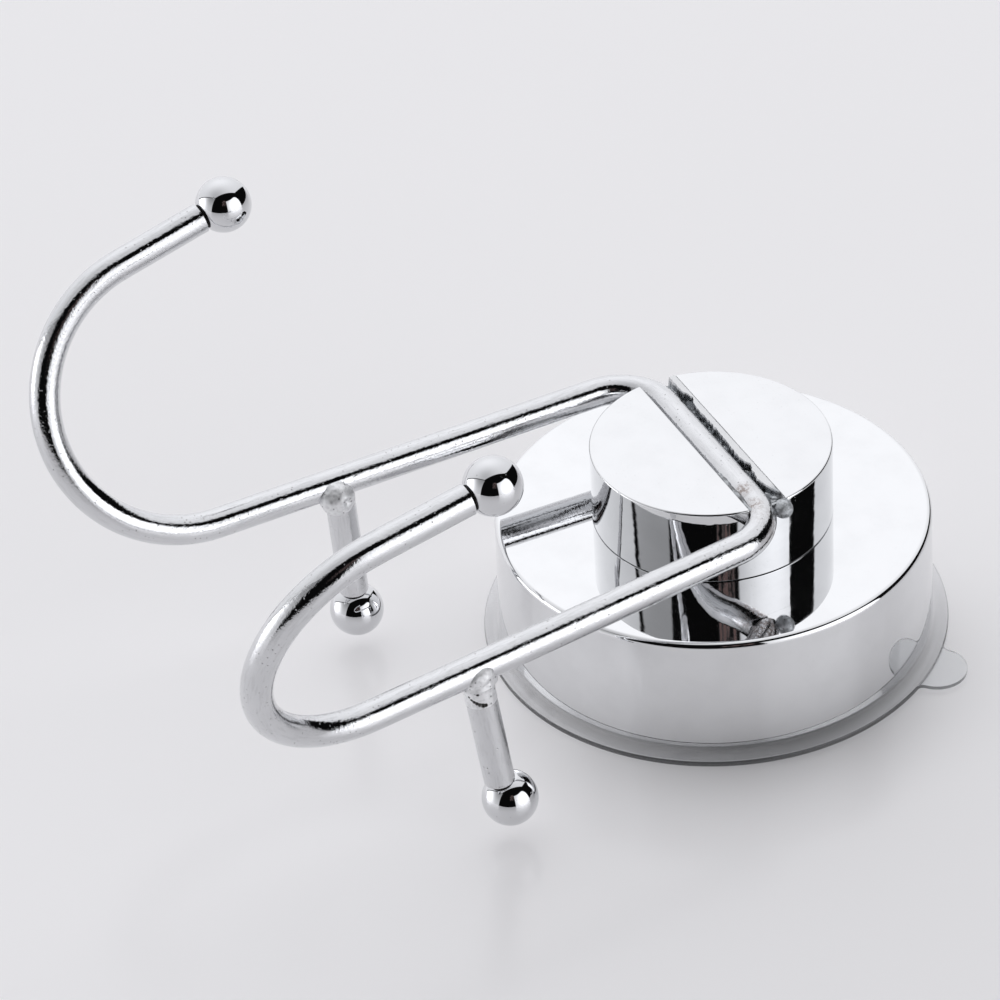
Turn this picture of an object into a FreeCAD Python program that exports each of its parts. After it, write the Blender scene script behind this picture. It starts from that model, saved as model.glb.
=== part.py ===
import FreeCAD
import Part
import math
import os

# Suction cup hook with a knob that carries two wire arms.
# Sizes are in millimetres and angles in degrees.
# The origin is the centre of the flat suction face, which lies at height 0.
# +Z points away from the wall. On a wall the arms hang down along -Y.
# The left side is -X, as seen by someone who faces the wall with +Y upwards.

Vector = FreeCAD.Vector
UP = Vector(0, 0, 1)
LEFT = -1
RIGHT = 1

# Suction disc, one moulding of clear soft plastic with a pull tab on its edge
DISC_RADIUS = 39.2
DISC_EDGE_THICKNESS = 1.0
DISC_SEAT_HEIGHT = 1.9
DISC_CENTRE_THICKNESS = 2.6
BOSS_RADIUS = 8.5
BOSS_HEIGHT = 8.6
BOSS_ROOT_FILLET = 1.5
BOSS_EDGE_FILLET = 0.6
TAB_RADIUS = 5.1
TAB_CENTRE_INSET = 0.6
TAB_THICKNESS = 0.65
TAB_DIRECTION = 34.9
SEAT_MARGIN = 0.3

# Threaded stud whose hexagonal head is moulded into the boss of the disc
STUD_RADIUS = 3.0
STUD_HEAD_ACROSS_FLATS = 10.0
STUD_HEAD_HEIGHT = 3.5
STUD_HEAD_BASE = 2.0
STUD_END_CHAMFER = 0.6
STUD_LIFT = 1.5
MOULDING_GAP = 0.05

# Cover, a round cap with a hub that guides the stud
COVER_HEIGHT = 23.0
COVER_TOP_RADIUS = 36.3
COVER_RIM_RADIUS = 36.6
COVER_WALL = 2.2
COVER_CROWN = 2.6
COVER_EDGE_FILLET = 1.0
COVER_RIM_FILLET = 0.4
HUB_WALL = 3.2
HUB_CLEARANCE = 0.9
HUB_BORE_CLEARANCE = 0.3

# Washer that the knob turns on
WASHER_RADIUS = 9.0
WASHER_THICKNESS = 0.8
WASHER_BORE_CLEARANCE = 0.2

# Knob, hollow below, with a threaded boss and a slot across its top
KNOB_RADIUS = 20.0
KNOB_TOP_HEIGHT = 36.7
KNOB_WALL = 3.0
KNOB_ROOF = 2.4
KNOB_EDGE_FILLET = 0.4
KNOB_SEAM_GAP = 0.2
KNOB_WASHER_GAP = 0.1
KNOB_BOSS_RADIUS = 7.5
THREAD_CLEARANCE = 0.05
THREAD_END_SPACE = 0.5
THREAD_ROOF = 1.5
SLOT_WIDTH = 6.5
SLOT_DEPTH = 4.55
SLOT_SHIFT = 0.25
SLOT_TURN = 4.4

# Wire that lies in the slot and makes both arms
WIRE_RADIUS = 2.5
BEND_RADIUS = 9.0
CORNER_REACH = 24.3
ARM_DROOP = 0.9
TIP_STRAIGHT = 19.7

LEFT_ARM_SPLAY = 3.7
LEFT_ARM_LENGTH = 68.5
LEFT_HOOK_RADIUS = 23.2
LEFT_HOOK_TURN = 167.4
LEFT_HOOK_LEAN = 22.0

RIGHT_ARM_SPLAY = 2.6
RIGHT_ARM_LENGTH = 67.3
RIGHT_HOOK_RADIUS = 22.1
RIGHT_HOOK_TURN = 171.9
RIGHT_HOOK_LEAN = 16.8

# Balls at the tips of the wire and at the feet of the pegs
BALL_RADIUS = 4.55

# Pegs that brace the arms against the wall
PEG_RADIUS = 2.5
LEFT_PEG_PLACE = 47.3
LEFT_PEG_LEAN_IN = 2.6
LEFT_PEG_LEAN_OUT = -0.6
LEFT_FOOT_GAP = 2.25
LEFT_FOOT_SLIP = 0.0
RIGHT_PEG_PLACE = 49.4
RIGHT_PEG_LEAN_IN = 5.2
RIGHT_PEG_LEAN_OUT = 4.9
RIGHT_FOOT_GAP = 2.9
RIGHT_FOOT_SLIP = 1.1

# Filler metal in the slot, and the lumps of weld where the pegs meet the arms
BRAZE_TOP_DROP = 1.2
BRAZE_END_INSET = 1.0
BEAD_RADIUS = 1.45
BEAD_DROP = 1.5
BEAD_SIDE_INSET = 0.7
WELD_RADIUS = 3.0
WELD_DROP = 2.9


# Heights and radii that follow from the sizes above
hub_radius = STUD_RADIUS + HUB_BORE_CLEARANCE + HUB_WALL
hub_bottom = BOSS_HEIGHT + STUD_LIFT + HUB_CLEARANCE
washer_top = COVER_HEIGHT + WASHER_THICKNESS
knob_rim_height = COVER_HEIGHT + KNOB_SEAM_GAP
knob_boss_bottom = washer_top + KNOB_WASHER_GAP
slot_floor = KNOB_TOP_HEIGHT - SLOT_DEPTH
thread_end = slot_floor - THREAD_ROOF
stud_top = thread_end - THREAD_END_SPACE - STUD_LIFT
ball_facet = math.sqrt(BALL_RADIUS ** 2 - WIRE_RADIUS ** 2)
peg_facet = math.sqrt(BALL_RADIUS ** 2 - PEG_RADIUS ** 2)

# Directions along and across the slot, and the line of the wire in it.
# The wire lies on the slot's floor, against the wall nearest the arms.
slot_along = Vector(math.cos(math.radians(SLOT_TURN)), -math.sin(math.radians(SLOT_TURN)), 0)
slot_across = UP.cross(slot_along)
slot_near_side = SLOT_SHIFT - SLOT_WIDTH / 2
slot_far_side = SLOT_SHIFT + SLOT_WIDTH / 2
wire_middle = slot_across * (slot_near_side + WIRE_RADIUS) + UP * (slot_floor + WIRE_RADIUS)


def unit(vector):
    """Return the vector at length one."""
    return Vector(vector).normalize()


def revolved(outline):
    """Turn a closed outline of (radius, height) points about the Z axis."""
    points = [Vector(radius, 0, height) for radius, height in outline]
    face = Part.Face(Part.makePolygon(points + points[:1]))
    return face.revolve(Vector(0, 0, 0), UP, 360)


def round_edges(shape, radius, height, fillet):
    """Round the circular edges that have this radius and height."""
    edges = [
        edge for edge in shape.Edges
        if isinstance(edge.Curve, Part.Circle)
        and abs(edge.Curve.Radius - radius) < 0.01
        and abs(edge.Curve.Center.z - height) < 0.01
    ]
    return shape.makeFillet(fillet, edges)


def rod(radius, start, end):
    """Make a round bar between two points."""
    way = end - start
    return Part.makeCylinder(radius, way.Length, start, way)


def hexagon(across_flats, base, height):
    """Make a hexagonal prism about the Z axis."""
    corner_radius = across_flats / 2 / math.cos(math.pi / 6)
    angles = [math.pi / 3 * i for i in range(6)]
    corners = [Vector(math.cos(a), math.sin(a), 0) * corner_radius + UP * base for a in angles]
    return Part.Face(Part.makePolygon(corners + corners[:1])).extrude(UP * height)


def make_suction_disc():
    """Flat disc with a raised seat for the cover, a centre boss and a pull tab."""
    seat_outer = COVER_RIM_RADIUS + SEAT_MARGIN
    seat_inner = COVER_RIM_RADIUS - COVER_WALL - SEAT_MARGIN
    disc = revolved([
        (0, 0),
        (DISC_RADIUS, 0),
        (DISC_RADIUS, DISC_EDGE_THICKNESS),
        (seat_outer, DISC_SEAT_HEIGHT),
        (seat_inner, DISC_SEAT_HEIGHT),
        (BOSS_RADIUS, DISC_CENTRE_THICKNESS),
        (BOSS_RADIUS, BOSS_HEIGHT),
        (0, BOSS_HEIGHT),
    ])
    disc = round_edges(disc, BOSS_RADIUS, DISC_CENTRE_THICKNESS, BOSS_ROOT_FILLET)
    disc = round_edges(disc, BOSS_RADIUS, BOSS_HEIGHT, BOSS_EDGE_FILLET)
    angle = math.radians(TAB_DIRECTION)
    tab_centre = Vector(math.cos(angle), math.sin(angle), 0) * (DISC_RADIUS + TAB_CENTRE_INSET)
    tab = Part.makeCylinder(TAB_RADIUS, TAB_THICKNESS, tab_centre)
    head_room = hexagon(
        STUD_HEAD_ACROSS_FLATS + 2 * MOULDING_GAP, STUD_HEAD_BASE, STUD_HEAD_HEIGHT + MOULDING_GAP)
    shank_room = Part.makeCylinder(STUD_RADIUS + MOULDING_GAP, BOSS_HEIGHT, UP * STUD_HEAD_BASE)
    return disc.fuse(tab).removeSplitter().cut(head_room).cut(shank_room)


def make_cup_stud():
    """Hexagon-headed stud that the knob screws onto."""
    head = hexagon(STUD_HEAD_ACROSS_FLATS, STUD_HEAD_BASE, STUD_HEAD_HEIGHT)
    shank = revolved([
        (0, STUD_HEAD_BASE),
        (STUD_RADIUS, STUD_HEAD_BASE),
        (STUD_RADIUS, stud_top - STUD_END_CHAMFER),
        (STUD_RADIUS - STUD_END_CHAMFER, stud_top),
        (0, stud_top),
    ])
    return head.fuse(shank).removeSplitter()


def make_cover():
    """Round cap, open below, whose rim stands on the seat of the disc."""
    bore = STUD_RADIUS + HUB_BORE_CLEARANCE
    ceiling = COVER_HEIGHT - COVER_CROWN
    cover = revolved([
        (bore, COVER_HEIGHT),
        (COVER_TOP_RADIUS, COVER_HEIGHT),
        (COVER_RIM_RADIUS, DISC_SEAT_HEIGHT),
        (COVER_RIM_RADIUS - COVER_WALL, DISC_SEAT_HEIGHT),
        (COVER_TOP_RADIUS - COVER_WALL, ceiling),
        (hub_radius, ceiling),
        (hub_radius, hub_bottom),
        (bore, hub_bottom),
    ])
    cover = round_edges(cover, COVER_TOP_RADIUS, COVER_HEIGHT, COVER_EDGE_FILLET)
    return round_edges(cover, COVER_RIM_RADIUS, DISC_SEAT_HEIGHT, COVER_RIM_FILLET)


def make_washer():
    """Thin ring between the cover and the boss of the knob."""
    disc = Part.makeCylinder(WASHER_RADIUS, WASHER_THICKNESS, UP * COVER_HEIGHT)
    hole = Part.makeCylinder(STUD_RADIUS + WASHER_BORE_CLEARANCE, WASHER_THICKNESS, UP * COVER_HEIGHT)
    return disc.cut(hole)


def make_knob(wire):
    """Short drum, hollow below, with a blind threaded hole and a slot shaped to the wire's bends."""
    thread_radius = STUD_RADIUS + THREAD_CLEARANCE
    inner_radius = KNOB_RADIUS - KNOB_WALL
    ceiling = slot_floor - KNOB_ROOF
    knob = revolved([
        (0, thread_end),
        (thread_radius, thread_end),
        (thread_radius, knob_boss_bottom),
        (KNOB_BOSS_RADIUS, knob_boss_bottom),
        (KNOB_BOSS_RADIUS, ceiling),
        (inner_radius, ceiling),
        (inner_radius, knob_rim_height),
        (KNOB_RADIUS, knob_rim_height),
        (KNOB_RADIUS, KNOB_TOP_HEIGHT),
        (0, KNOB_TOP_HEIGHT),
    ])
    knob = round_edges(knob, KNOB_RADIUS, KNOB_TOP_HEIGHT, KNOB_EDGE_FILLET)
    slot = slot_box(slot_near_side, slot_far_side, KNOB_RADIUS, slot_floor, KNOB_TOP_HEIGHT)
    return knob.cut(slot).cut(wire)


def slot_box(side_low, side_high, half_length, bottom, top):
    """Make a block that lies along the slot, between two distances across it."""
    corner = slot_along * -half_length + slot_across * side_low + UP * bottom
    base = Part.makePolygon([
        corner,
        corner + slot_along * (2 * half_length),
        corner + slot_along * (2 * half_length) + slot_across * (side_high - side_low),
        corner + slot_across * (side_high - side_low),
        corner,
    ])
    return Part.Face(base).extrude(UP * (top - bottom))


class Arm:
    """One half of the wire, from the middle of the slot to its ball."""

    def __init__(self, side, splay, length, hook_radius, hook_turn, hook_lean):
        splay = math.radians(splay)
        droop = math.radians(ARM_DROOP)
        lean = math.radians(hook_lean)
        turn = math.radians(hook_turn)
        outwards = Vector(side, 0, 0)
        self.outwards = outwards
        self.slot_way = slot_along * side
        self.arm_way = Vector(
            side * math.sin(splay) * math.cos(droop), -math.cos(splay) * math.cos(droop), -math.sin(droop))

        self.bend_angle = self.slot_way.getAngle(self.arm_way)
        self.bend_inwards = unit(self.arm_way - self.slot_way * math.cos(self.bend_angle))
        bend_reach = BEND_RADIUS * math.tan(self.bend_angle / 2)
        corner = wire_middle + self.slot_way * CORNER_REACH
        self.bend_start = corner - self.slot_way * bend_reach
        self.arm_start = corner + self.arm_way * bend_reach
        self.arm_end = self.arm_start + self.arm_way * length

        arm_up = unit(UP - self.arm_way * UP.dot(self.arm_way))
        arm_side = unit(outwards - self.arm_way * outwards.dot(self.arm_way))
        arm_side = unit(arm_side - arm_up * arm_side.dot(arm_up))
        self.hook_radius = hook_radius
        self.hook_angle = turn
        self.hook_inwards = arm_up * math.cos(lean) + arm_side * math.sin(lean)
        self.hook_end = (
            self.arm_end
            + self.arm_way * (hook_radius * math.sin(turn))
            + self.hook_inwards * (hook_radius * (1 - math.cos(turn)))
        )
        self.tip_way = self.arm_way * math.cos(turn) + self.hook_inwards * math.sin(turn)
        self.ball_centre = self.hook_end + self.tip_way * TIP_STRAIGHT
        self.wire_end = self.ball_centre - self.tip_way * ball_facet

    def bend(self, start, way, inwards, radius, angle):
        """Make the bent stretch of wire that starts at a point and turns inwards."""
        section = Part.Face(Part.Wire(Part.makeCircle(WIRE_RADIUS, start, way)))
        return section.revolve(start + inwards * radius, way.cross(inwards), math.degrees(angle))

    def pieces(self):
        """Make the straight and bent stretches in order."""
        return [
            rod(WIRE_RADIUS, wire_middle, self.bend_start),
            self.bend(self.bend_start, self.slot_way, self.bend_inwards, BEND_RADIUS, self.bend_angle),
            rod(WIRE_RADIUS, self.arm_start, self.arm_end),
            self.bend(self.arm_end, self.arm_way, self.hook_inwards, self.hook_radius, self.hook_angle),
            rod(WIRE_RADIUS, self.hook_end, self.wire_end),
        ]

    def straight(self):
        """Make the straight stretch of the arm alone."""
        return rod(WIRE_RADIUS, self.arm_start, self.arm_end)


class Peg:
    """Short rod below an arm, with a ball for its foot that may sit off the rod's line towards the cup."""

    def __init__(self, arm, place, lean_in, lean_out, foot_gap, foot_slip):
        self.arm = arm
        self.top = arm.arm_start + arm.arm_way * place
        slope_in = Vector(0, math.tan(math.radians(lean_in)), 0)
        slope_out = arm.outwards * math.tan(math.radians(lean_out))
        down = slope_in + slope_out - UP
        drop = self.top.z - foot_gap - BALL_RADIUS
        self.way = unit(down)
        self.ball_centre = self.top + down * drop + Vector(0, foot_slip, 0)
        length = (self.ball_centre - self.top).dot(self.way) - peg_facet
        self.end = self.top + self.way * length

    def make_rod(self):
        """Rod whose top is shaped to the underside of the arm."""
        return rod(PEG_RADIUS, self.top, self.end).cut(self.arm.straight())

    def make_weld(self):
        """Round lump of weld about the joint of the peg and the arm."""
        lump = Part.makeSphere(WELD_RADIUS, self.top + self.way * WELD_DROP)
        return lump.cut(self.arm.straight()).cut(rod(PEG_RADIUS, self.top, self.end))


def make_ball(centre, way, facet):
    """Ball with a small flat where the end of a rod meets it; the rod runs along the way."""
    ball = Part.makeSphere(BALL_RADIUS, centre)
    waste = Part.makeCylinder(BALL_RADIUS, BALL_RADIUS, centre - way * facet, way * -1)
    return ball.cut(waste)


def make_hook_wire(arms):
    """The whole wire as one solid."""
    pieces = [piece for arm in arms for piece in arm.pieces()]
    return pieces[0].multiFuse(pieces[1:]).removeSplitter()


def make_slot_braze(wire, knob):
    """Filler metal beside the wire in the slot, with a round bead at its right end."""
    half_length = KNOB_RADIUS - BRAZE_END_INSET
    block = slot_box(
        slot_near_side + WIRE_RADIUS, slot_far_side, half_length, slot_floor, KNOB_TOP_HEIGHT - BRAZE_TOP_DROP)
    bead_centre = (
        slot_along * KNOB_RADIUS
        + slot_across * (slot_far_side - BEAD_SIDE_INSET)
        + UP * (KNOB_TOP_HEIGHT - BEAD_DROP)
    )
    bead = Part.makeSphere(BEAD_RADIUS, bead_centre)
    return block.fuse(bead).removeSplitter().cut(wire).cut(knob)


def build():
    """Make every piece and return them by name."""
    left_arm = Arm(
        LEFT, LEFT_ARM_SPLAY, LEFT_ARM_LENGTH, LEFT_HOOK_RADIUS, LEFT_HOOK_TURN, LEFT_HOOK_LEAN)
    right_arm = Arm(
        RIGHT, RIGHT_ARM_SPLAY, RIGHT_ARM_LENGTH, RIGHT_HOOK_RADIUS, RIGHT_HOOK_TURN, RIGHT_HOOK_LEAN)
    left_peg = Peg(
        left_arm, LEFT_PEG_PLACE, LEFT_PEG_LEAN_IN, LEFT_PEG_LEAN_OUT, LEFT_FOOT_GAP, LEFT_FOOT_SLIP)
    right_peg = Peg(
        right_arm, RIGHT_PEG_PLACE, RIGHT_PEG_LEAN_IN, RIGHT_PEG_LEAN_OUT, RIGHT_FOOT_GAP, RIGHT_FOOT_SLIP)
    wire = make_hook_wire([left_arm, right_arm])
    knob = make_knob(wire)
    nodes = {
        "suction_disc": make_suction_disc(),
        "cup_stud": make_cup_stud(),
        "cover": make_cover(),
        "washer": make_washer(),
        "knob": knob,
        "hook_wire": wire,
        "slot_braze": make_slot_braze(wire, knob),
    }
    for name, arm, peg in (("left", left_arm, left_peg), ("right", right_arm, right_peg)):
        nodes["tip_ball_" + name] = make_ball(arm.ball_centre, arm.tip_way, ball_facet)
        nodes["peg_" + name] = peg.make_rod()
        nodes["peg_ball_" + name] = make_ball(peg.ball_centre, peg.way, peg_facet)
        nodes["peg_weld_" + name] = peg.make_weld()
    return nodes


os.makedirs("parts", exist_ok=True)
for node_name, node_shape in build().items():
    node_shape.exportStep("parts/" + node_name + ".step")
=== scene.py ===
import math
import bmesh
import bpy
from bpy.props import FloatProperty, FloatVectorProperty, IntProperty, PointerProperty
from mathutils import Matrix, Vector, noise


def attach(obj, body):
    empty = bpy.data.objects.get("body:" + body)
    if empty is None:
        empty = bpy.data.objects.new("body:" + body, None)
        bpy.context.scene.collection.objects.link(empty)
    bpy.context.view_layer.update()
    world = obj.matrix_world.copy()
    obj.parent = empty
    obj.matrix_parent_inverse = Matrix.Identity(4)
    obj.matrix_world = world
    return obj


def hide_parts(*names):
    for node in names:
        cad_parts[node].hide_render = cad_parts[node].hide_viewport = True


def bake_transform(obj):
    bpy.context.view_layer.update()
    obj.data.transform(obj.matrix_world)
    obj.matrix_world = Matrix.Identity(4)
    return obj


bl_info = {
    "name": "Suction Cup Hook",
    "version": (1, 0, 0),
    "blender": (4, 5, 0),
    "location": "3D View > Sidebar > Suction Hook",
    "description": "Models a chromed suction cup hook with two wire arms, and the studio round it",
    "category": "Object",
}

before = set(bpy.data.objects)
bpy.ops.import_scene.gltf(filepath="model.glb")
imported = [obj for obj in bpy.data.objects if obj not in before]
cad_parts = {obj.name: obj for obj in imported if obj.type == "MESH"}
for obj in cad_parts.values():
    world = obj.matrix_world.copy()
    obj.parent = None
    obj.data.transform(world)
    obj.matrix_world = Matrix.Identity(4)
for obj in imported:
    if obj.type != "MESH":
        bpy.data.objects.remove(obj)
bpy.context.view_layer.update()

MM = 0.001
UP = Vector((0, 0, 1))
ORIGIN = Vector((0, 0, 0))
SHARP = math.radians(38)  # faces that meet at more than this keep a sharp edge
STEP = 0.05 * MM  # length over which a bar changes its width at once


# Sizes and finishes

def length(name, description, default):
    """A length in metres that a user may change."""
    return FloatProperty(
        name=name, description=description, default=default, min=0.0, precision=5, unit="LENGTH")


def turn(name, description, degrees):
    """An angle that a user may change."""
    return FloatProperty(
        name=name, description=description, default=math.radians(degrees), subtype="ANGLE")


def share(name, description, default):
    """A share from nothing to all."""
    return FloatProperty(
        name=name, description=description, default=default, min=0.0, max=1.0, subtype="FACTOR")


def colour(name, description, default):
    """A colour that a user may change."""
    return FloatVectorProperty(
        name=name, description=description, default=default, size=3, min=0.0, max=1.0, subtype="COLOR")


class CupSizes(bpy.types.PropertyGroup):
    """Sizes of the suction cup: disc, cover, washer, stud and knob."""

    disc_radius: length("Disc radius", "Outer radius of the clear soft disc", 0.0392)
    disc_edge: length("Disc edge", "Thickness of the disc at its edge", 0.001)
    disc_seat: length("Disc seat", "Height of the ring that the cover stands on", 0.0019)
    disc_centre: length("Disc centre", "Thickness of the disc beside its boss", 0.0026)
    boss_radius: length("Boss radius", "Radius of the boss that holds the stud", 0.0085)
    boss_height: length("Boss height", "Height of the boss above the wall", 0.0086)
    tab_radius: length("Tab radius", "Radius of the round pull tab", 0.0051)
    tab_inset: length("Tab reach", "Distance from the disc's edge to the tab's centre", 0.0006)
    tab_thickness: length("Tab thickness", "Thickness of the pull tab", 0.00065)
    tab_direction: turn("Tab direction", "Where the tab stands round the disc", 34.9)
    cover_height: length("Cover height", "Height of the cover's top above the wall", 0.023)
    cover_top: length("Cover top radius", "Radius of the cover at its top", 0.0363)
    cover_rim: length("Cover rim radius", "Radius of the cover at its rim", 0.0366)
    cover_wall: length("Cover wall", "Thickness of the cover's wall", 0.0022)
    cover_crown: length("Cover crown", "Thickness of the cover's top", 0.0026)
    hub_bore: length("Hub bore", "Radius of the hole that guides the stud", 0.0033)
    hub_radius: length("Hub radius", "Outer radius of the hub", 0.0065)
    hub_bottom: length("Hub bottom", "Height of the hub's lower end", 0.011)
    stud_radius: length("Stud radius", "Radius of the threaded stud", 0.003)
    knob_radius: length("Knob radius", "Radius of the knob", 0.020)
    knob_top: length("Knob top", "Height of the knob's top above the wall", 0.0367)
    knob_wall: length("Knob wall", "Thickness of the knob's wall", 0.003)
    knob_rim: length("Knob rim", "Height of the knob's lower rim", 0.0231)
    knob_edge: length("Knob edge", "Radius of the knob's rounded edges", 0.00042)
    slot_floor: length("Slot floor", "Height of the slot's floor", 0.03215)
    slot_near: length("Slot near side", "Distance from the axis to the slot's near wall", 0.0030)
    slot_far: length("Slot far side", "Distance from the axis to the slot's far wall", 0.0035)
    slot_turn: turn("Slot turn", "Turn of the slot from square to the arms", 4.4)
    steps: IntProperty(name="Steps", description="Facets round a full turn", default=288, min=16)


class ArmSizes(bpy.types.PropertyGroup):
    """Sizes of one arm with its hook and its peg."""

    splay: turn("Splay", "How far the arm turns outwards", 3.7)
    reach: length("Length", "Length of the arm's straight stretch", 0.0685)
    hook_radius: length("Hook radius", "Radius of the hook's bend", 0.0232)
    hook_turn: turn("Hook turn", "How far the hook bends round", 167.4)
    hook_lean: turn("Hook lean", "How far the hook leans outwards", 22.0)
    peg_place: length("Peg place", "Distance along the arm to its peg", 0.0473)
    peg_lean_in: turn("Peg lean back", "Lean of the peg towards the cup", 2.6)
    peg_lean_out: turn("Peg lean out", "Lean of the peg outwards", -0.6)
    foot_gap: length("Foot gap", "Gap between the wall and the peg's ball", 0.00225)
    foot_slip: length("Foot slip", "How far the peg's ball sits off the peg's line, towards the cup", 0.0)


class WireSizes(bpy.types.PropertyGroup):
    """Sizes of the wire, the balls and the pegs."""

    radius: length("Wire radius", "Radius of the wire", 0.0025)
    bend: length("Bend radius", "Radius of the bends beside the knob", 0.009)
    corner: length("Corner reach", "Distance from the axis to the corner of each bend", 0.0243)
    droop: turn("Droop", "Slope of the arms towards the wall", 0.9)
    tip: length("Tip length", "Straight stretch between the hook and the ball's centre", 0.0197)
    ball: length("Ball radius", "Radius of the balls", 0.00455)
    peg: length("Peg radius", "Radius of the pegs", 0.0025)
    left: PointerProperty(type=ArmSizes)
    right: PointerProperty(type=ArmSizes)


class FinishColours(bpy.types.PropertyGroup):
    """Colours and roughness of the finishes."""

    chrome: colour("Chrome", "Colour of bright chrome", (0.71, 0.715, 0.73))
    plate: colour("Plated plastic", "Colour of the chrome on the cover and the knob", (0.77, 0.775, 0.785))
    cast: colour("Cast metal", "Colour of the dull plating inside the slot", (0.9, 0.905, 0.915))
    heat: colour("Heat stain", "Brown that the flame left on the wire beside the filler", (0.27, 0.22, 0.2))
    braze: colour("Filler metal", "Colour of the filler metal in the slot", (0.42, 0.435, 0.45))
    # also laid over the grooves at the balls and inside the weld's blow holes as painted shade
    pit: colour("Pit", "Colour inside the pits of the chrome", (0.05, 0.048, 0.045))
    plastic: colour("Clear plastic", "Tint of the clear soft plastic where it is thin", (0.93, 0.94, 0.945))
    thick: colour("Thick plastic", "Tint of the soft plastic where it is thick", (0.95, 0.953, 0.96))
    # the darker rim tint is painted shade, for the shadow seen through the rim wall
    rim: colour("Rim plastic", "Tint of the soft plastic along the wall of its rim", (0.72, 0.725, 0.74))
    nylon: colour("Nylon", "Colour of the washer", (0.78, 0.77, 0.73))
    zinc: colour("Zinc", "Colour of the zinc on the stud", (0.55, 0.57, 0.58))
    polish: share("Polish", "Roughness of the best polished chrome", 0.012)
    wire_polish: share("Wire polish", "Roughness of the chrome on the wire", 0.045)


class StudioSettings(bpy.types.PropertyGroup):
    """The floor, the light and the camera."""

    floor: colour("Floor", "Colour of the glossy floor", (0.6, 0.596, 0.602))
    floor_glow: colour("Floor glow", "Light that comes through the floor from below", (0.33, 0.326, 0.336))
    floor_gloss: share("Floor roughness", "Roughness of the floor", 0.2)
    tent: colour("Tent", "Colour of the white tent of cloth overhead", (0.97, 0.975, 1.0))
    tent_level: share("Tent level", "Brightness of the tent", 0.92)
    room: share("Room", "Brightness of the dark room in front", 0.004)
    timber: colour("Timber", "Colour of the timber in the dark room", (0.97, 0.64, 0.61))
    lens: FloatProperty(name="Lens", description="Focal length in millimetres", default=151.09)
    camera_place: FloatVectorProperty(
        name="Camera place", description="Where the camera stands", size=3, unit="LENGTH",
        default=(0.476698, -0.284537, 0.445514))
    camera_direction: FloatVectorProperty(
        name="Camera direction", description="Which way the camera looks", size=3, subtype="DIRECTION",
        default=(-0.71001, 0.36499, -0.60222))
    camera_up: FloatVectorProperty(
        name="Camera up", description="Which way is up in the picture", size=3, subtype="DIRECTION",
        default=(-0.50362, 0.33454, 0.79652))


# Meshes

def place_object(name, data):
    """Put a new object with its data into the scene."""
    made = bpy.data.objects.new(name, data)
    bpy.context.collection.objects.link(made)
    return made


def mesh_object(name, mesh):
    """Turn a bmesh into an object."""
    data = bpy.data.meshes.new(name)
    mesh.to_mesh(data)
    mesh.free()
    return place_object(name, data)


def smooth(data):
    """Shade a mesh smooth, apart from its sharp edges."""
    data.shade_smooth()
    data.set_sharp_from_angle(angle=SHARP)


def finish_piece(name, mesh, body, nodes, material):
    """Turn a bmesh into a piece that rides on a body, if one is named, and stands for CAD nodes."""
    piece = mesh_object(name, mesh)
    smooth(piece.data)
    piece.data.materials.append(material)
    if body:
        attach(piece, body)
    if nodes:
        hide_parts(*nodes)
    return piece


def even_normals(piece):
    """Keep wide faces flat beside narrow rounded edges."""
    weighting = piece.modifiers.new("Even normals", "WEIGHTED_NORMAL")
    weighting.mode = "FACE_AREA"
    weighting.keep_sharp = True
    return piece


def arc(centre, radius, start, end, steps):
    """Points of an arc in an outline, from one angle in degrees to another."""
    angles = [math.radians(start + (end - start) * i / steps) for i in range(steps + 1)]
    return [(centre[0] + radius * math.cos(a), centre[1] + radius * math.sin(a)) for a in angles]


def lathe(outline, steps):
    """Turn an outline of (radius, height) points round the Z axis into a closed skin."""
    mesh = bmesh.new()
    points = [mesh.verts.new((radius, 0, height)) for radius, height in outline]
    edges = [mesh.edges.new(pair) for pair in zip(points, points[1:])]
    bmesh.ops.spin(
        mesh, geom=points + edges, cent=ORIGIN, axis=UP, angle=2 * math.pi, steps=steps, use_merge=True)
    bmesh.ops.remove_doubles(mesh, verts=mesh.verts, dist=1e-7)
    bmesh.ops.dissolve_degenerate(mesh, edges=mesh.edges, dist=1e-8)
    bmesh.ops.recalc_face_normals(mesh, faces=mesh.faces)
    return mesh


def points_in(items):
    """The points among the parts of a mesh that an operator made."""
    return [item for item in items if isinstance(item, bmesh.types.BMVert)]


def ring_loop(result):
    """The new points and edges that an extrusion made."""
    points = points_in(result)
    edges = [item for item in result if isinstance(item, bmesh.types.BMEdge)]
    return points, [edge for edge in edges if edge.verts[0] in points and edge.verts[1] in points]


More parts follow.
